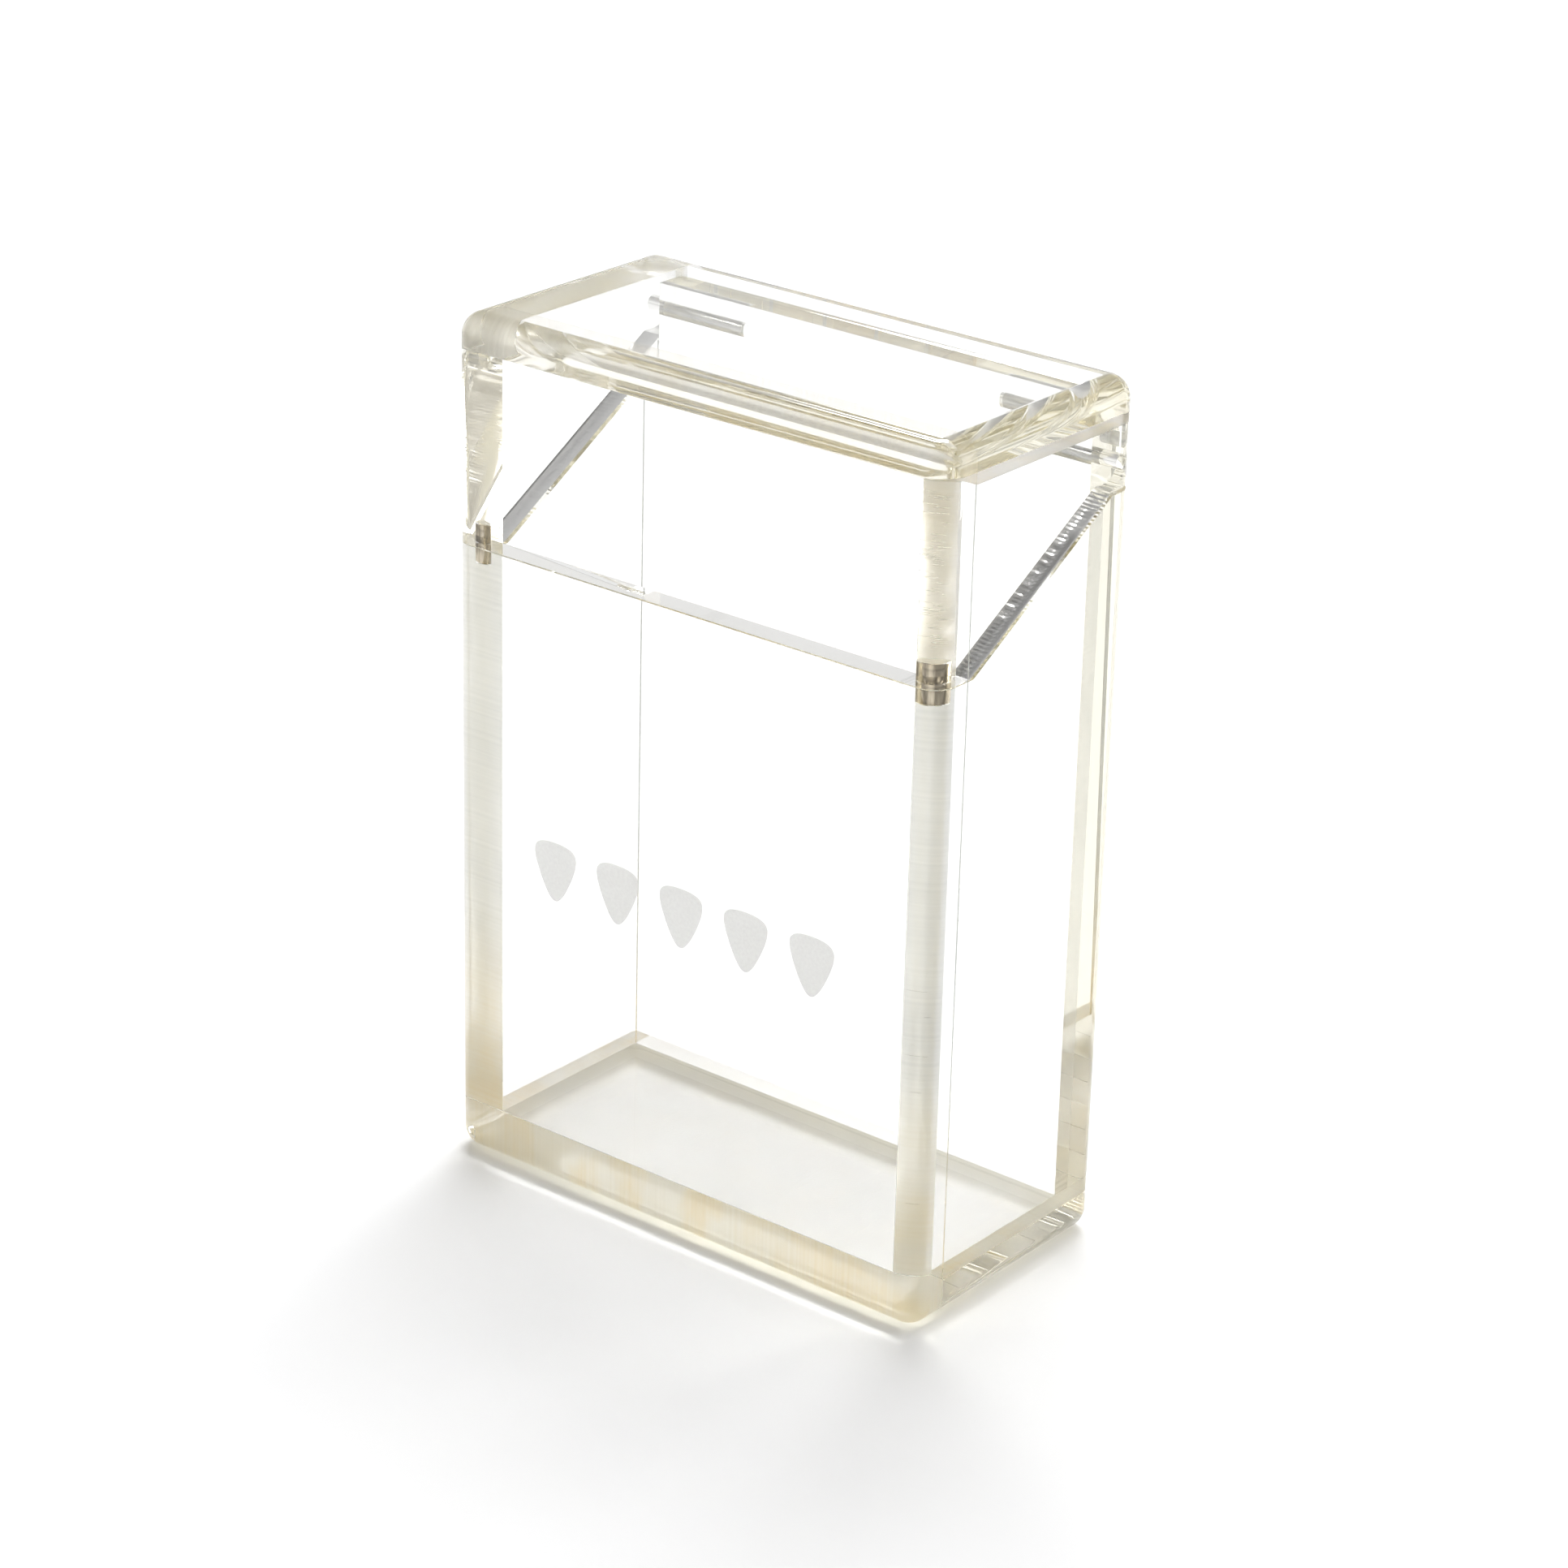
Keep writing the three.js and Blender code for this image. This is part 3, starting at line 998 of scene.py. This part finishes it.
show(
    "case_shell",
    finish_shell(case_mesh(), False),
    ACRYLIC,
    "case",
    "acrylic",
    "case_front_panel",
    "case_bottom_panel",
    "case_back_panel",
    "case_left_panel",
    "case_right_panel",
)
show(
    "lid_shell",
    finish_shell(lid_mesh(), True),
    ACRYLIC,
    "lid",
    "acrylic",
    "lid_front_panel",
    "lid_top_panel",
    "lid_left_cheek",
    "lid_right_cheek",
)
CEMENT = cement()
show("case_joints", joints_mesh(False), CEMENT, "case", "acrylic")
show("lid_joints", joints_mesh(True), CEMENT, "lid", "acrylic")
AIR = trapped_air()
show("case_bubbles", bubbles_mesh(case_bubbles(), 53), AIR, "case", "acrylic")
show("lid_bubbles", bubbles_mesh(lid_bubbles(), 37), AIR, "lid", "acrylic")
show("front_mark", mark_mesh(), frosting(), "case", "acrylic")
for word in ("left", "right"):
    lo, hi = node_box(f"{word}_hinge_pin")
    show(
        f"pin_{word}",
        turned_bar(
            Vector((lo.x, PIN_Y, PIN_Z)), Vector((hi.x, PIN_Y, PIN_Z)), TONGUE_BORE + WETTED, 0.15
        ),
        PIN_STEEL,
        "case",
        "pin_steel",
        f"{word}_hinge_pin",
    )
    for half in ("case", "lid"):
        lo, hi = node_box(f"{half}_{word}_magnet")
        x = (lo.x + hi.x) / 2
        show(
            f"magnet_{half}_{word}",
            turned_bar(
                Vector((x, MAGNET_Y, lo.z)),
                Vector((x, MAGNET_Y, hi.z)),
                MAGNET_RADIUS + POCKET_CLEARANCE + WETTED,
                0.08,
            ),
            NICKEL,
            half,
            "magnet_nickel",
            f"{half}_{word}_magnet",
        )


# ---- stage, light, camera -----------------------------------------------------------------------


def floor():
    """A pale round floor, a hair below the object."""
    m = Nodes("floor_pale")
    shader = m.add("ShaderNodeBsdfPrincipled")
    shader.inputs["Base Color"].default_value = (0.88, 0.89, 0.915, 1.0)
    shader.inputs["Roughness"].default_value = 0.9
    shader.inputs["Specular IOR Level"].default_value = 0.0
    m.link(shader.outputs["BSDF"], m.output.inputs["Surface"])
    mesh = bpy.data.meshes.new("floor")
    steps, radius = 96, 5.0
    angles = [2 * math.pi * i / steps for i in range(steps)]
    ring = [(radius * math.cos(a), radius * math.sin(a), 0.0) for a in angles]
    mesh.from_pydata(ring, [], [tuple(range(steps))])
    mesh.materials.append(m.material)
    plane = bpy.data.objects.new("floor", mesh)
    bpy.context.collection.objects.link(plane)
    plane.location.z = -0.00003


# Brightness of the room by height (sine of the elevation) and towards its left end (minus x), the
# casts of its darker parts, and the x between which the cool left end gives way to the warm rest.
BY_HEIGHT = ((0.0, 1.0), (0.30, 0.92), (0.55, 0.56), (0.80, 0.25), (1.0, 0.21))
BY_SIDE = ((0.20, 1.0), (0.55, 0.90), (0.90, 0.65), (1.0, 0.62))
WARM, COOL = (1.0, 0.91, 0.72), (0.98, 0.99, 1.0)
COOL_TO, WARM_FROM = -0.35, -0.10
# A gap in the lit ceiling: where it is, and the angles at which it starts and ends.
GAP_AZIMUTH, GAP_ELEVATION = -80.0, 63.0
GAP_INNER, GAP_OUTER, GAP_LEVEL = 5.0, 9.0, 0.03


def direction(azimuth, elevation):
    """Azimuth 0 is behind the object and 90 to its right, in degrees."""
    a, e = math.radians(azimuth), math.radians(elevation)
    return Vector((math.sin(a) * math.cos(e), math.cos(a) * math.cos(e), math.sin(e)))


def world():
    """White walls near the floor, and a greyer, warmer ceiling with a cool end and a dark gap."""
    w = bpy.data.worlds.new("studio")
    bpy.context.scene.world = w
    w.use_nodes = True
    tree = w.node_tree
    tree.nodes.clear()

    def ramp(stops, tint):
        """Greys by position, which take the tint as they darken."""
        node = tree.nodes.new("ShaderNodeValToRGB")
        node.color_ramp.interpolation = "EASE"
        node.color_ramp.elements[0].position = stops[0][0]
        node.color_ramp.elements[1].position = stops[-1][0]
        for position, _ in stops[1:-1]:
            node.color_ramp.elements.new(position)
        for element, (_, grey) in zip(node.color_ramp.elements, stops):
            cast = [1 - (1 - t) * (1 - grey) for t in tint]
            element.color = (grey * cast[0], grey * cast[1], grey * cast[2], 1.0)
        return node

    where = tree.nodes.new("ShaderNodeTexCoord")
    split = tree.nodes.new("ShaderNodeSeparateXYZ")
    tree.links.new(where.outputs["Generated"], split.inputs["Vector"])
    warm = ramp(BY_HEIGHT, WARM)
    cool = ramp(BY_HEIGHT, COOL)
    tree.links.new(split.outputs["Z"], warm.inputs["Fac"])
    tree.links.new(split.outputs["Z"], cool.inputs["Fac"])
    part = tree.nodes.new("ShaderNodeMapRange")
    part.inputs["From Min"].default_value = COOL_TO
    part.inputs["From Max"].default_value = WARM_FROM
    tree.links.new(split.outputs["X"], part.inputs["Value"])
    by_height = tree.nodes.new("ShaderNodeMixRGB")
    tree.links.new(part.outputs["Result"], by_height.inputs["Fac"])
    tree.links.new(cool.outputs["Color"], by_height.inputs["Color1"])
    tree.links.new(warm.outputs["Color"], by_height.inputs["Color2"])
    leftward = tree.nodes.new("ShaderNodeMath")
    leftward.operation = "MULTIPLY"
    leftward.inputs[1].default_value = -1.0
    tree.links.new(split.outputs["X"], leftward.inputs[0])
    by_side = ramp(BY_SIDE, (1.0, 1.0, 1.0))
    tree.links.new(leftward.outputs["Value"], by_side.inputs["Fac"])
    toward = tree.nodes.new("ShaderNodeVectorMath")
    toward.operation = "DOT_PRODUCT"
    toward.inputs[1].default_value = direction(GAP_AZIMUTH, GAP_ELEVATION)
    tree.links.new(where.outputs["Generated"], toward.inputs[0])
    gap = tree.nodes.new("ShaderNodeMapRange")
    gap.interpolation_type = "SMOOTHSTEP"
    gap.inputs["From Min"].default_value = math.cos(math.radians(GAP_OUTER))
    gap.inputs["From Max"].default_value = math.cos(math.radians(GAP_INNER))
    gap.inputs["To Min"].default_value = 1.0
    gap.inputs["To Max"].default_value = GAP_LEVEL
    tree.links.new(toward.outputs["Value"], gap.inputs["Value"])
    sides = tree.nodes.new("ShaderNodeVectorMath")
    sides.operation = "MULTIPLY"
    tree.links.new(by_height.outputs["Color"], sides.inputs[0])
    tree.links.new(by_side.outputs["Color"], sides.inputs[1])
    room = tree.nodes.new("ShaderNodeVectorMath")
    room.operation = "SCALE"
    tree.links.new(sides.outputs["Vector"], room.inputs[0])
    tree.links.new(gap.outputs["Result"], room.inputs["Scale"])
    background = tree.nodes.new("ShaderNodeBackground")
    background.inputs["Strength"].default_value = 1.14
    tree.links.new(room.outputs["Vector"], background.inputs["Color"])
    out = tree.nodes.new("ShaderNodeOutputWorld")
    tree.links.new(background.outputs["Background"], out.inputs["Surface"])


def softbox(name, azimuth, elevation, distance, width, height, power):
    """A large soft light that faces the object."""
    way = direction(azimuth, elevation)
    data = bpy.data.lights.new(name, "AREA")
    data.shape = "RECTANGLE"
    data.size = width
    data.size_y = height
    data.energy = power
    lamp = bpy.data.objects.new(name, data)
    bpy.context.collection.objects.link(lamp)
    lamp.location = Vector((0, 0, 0.05)) + way * distance
    lamp.rotation_mode = "QUATERNION"
    lamp.rotation_quaternion = way.to_track_quat("Z", "Y")


# The camera: angles in degrees (azimuth 0 in front of the object), then metres, and a lens in mm.
VIEW_AZIMUTH, VIEW_ELEVATION, VIEW_ROLL = 38.421, 23.244, 1.468
VIEW_DISTANCE = 0.487046
VIEW_TARGET = (0.000537, 0.0, 0.049597)
VIEW_LENS = 102.405


def camera():
    azimuth = math.radians(VIEW_AZIMUTH)
    elevation = math.radians(VIEW_ELEVATION)
    roll = math.radians(VIEW_ROLL)
    back = Vector(
        (
            math.sin(azimuth) * math.cos(elevation),
            -math.cos(azimuth) * math.cos(elevation),
            math.sin(elevation),
        )
    )
    right = (-back).cross(Vector((0, 0, 1))).normalized()
    up = right.cross(-back)
    x_axis = right * math.cos(roll) + up * math.sin(roll)
    y_axis = up * math.cos(roll) - right * math.sin(roll)
    data = bpy.data.cameras.new("camera")
    data.lens = VIEW_LENS
    data.sensor_width = 36.0
    data.clip_start = 0.01
    data.clip_end = 50.0
    eye = bpy.data.objects.new("camera", data)
    bpy.context.collection.objects.link(eye)
    place = Matrix((x_axis, y_axis, back)).transposed().to_4x4()
    place.translation = Vector(VIEW_TARGET) + back * VIEW_DISTANCE
    eye.matrix_world = place
    bpy.context.scene.camera = eye


floor()
world()
# Azimuth and elevation in degrees, distance, width and height in metres, power in watts.
softbox("key", 12.0, 64.0, 0.95, 0.7, 0.5, 3.4)
softbox("back", -35.0, 58.0, 1.0, 0.5, 0.4, 6.8)
softbox("side", 95.0, 47.0, 0.95, 0.3, 0.3, 0.7)
camera()

scene = bpy.context.scene
scene.view_settings.view_transform = "Standard"
scene.cycles.max_bounces = 40
scene.cycles.transmission_bounces = 40
scene.cycles.glossy_bounces = 40
scene.cycles.diffuse_bounces = 4
scene.cycles.use_denoising = True
scene.cycles.blur_glossy = 0.0
